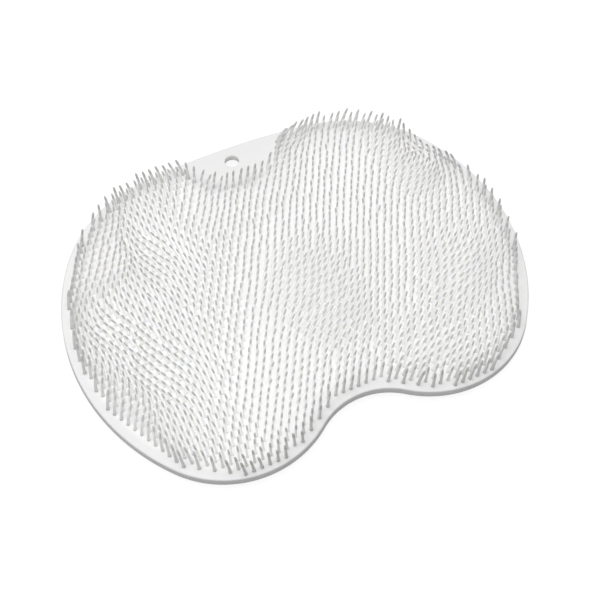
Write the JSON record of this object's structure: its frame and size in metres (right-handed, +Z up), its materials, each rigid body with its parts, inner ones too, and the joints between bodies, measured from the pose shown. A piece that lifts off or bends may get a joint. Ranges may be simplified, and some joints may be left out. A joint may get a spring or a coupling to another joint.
{
  "type": "shower foot scrubber",
  "caption": "Kidney-shaped silicone mat with a dense field of soft bristles on top, suction cups underneath and a hang hole in a bare tab at the back.",
  "frame": {"origin": "middle of the mat's plan, on the plane of the suction cups' rims", "axes": "+X along the mat, +Y to the back edge with the hang hole, +Z up through the bristles"},
  "size_m": [0.3018, 0.2343, 0.0235],
  "materials": {
    "silicone": "satin"
  },
  "bodies": {
    "root": {"scrubber_mat": "silicone"}
  },
  "joints": []
}
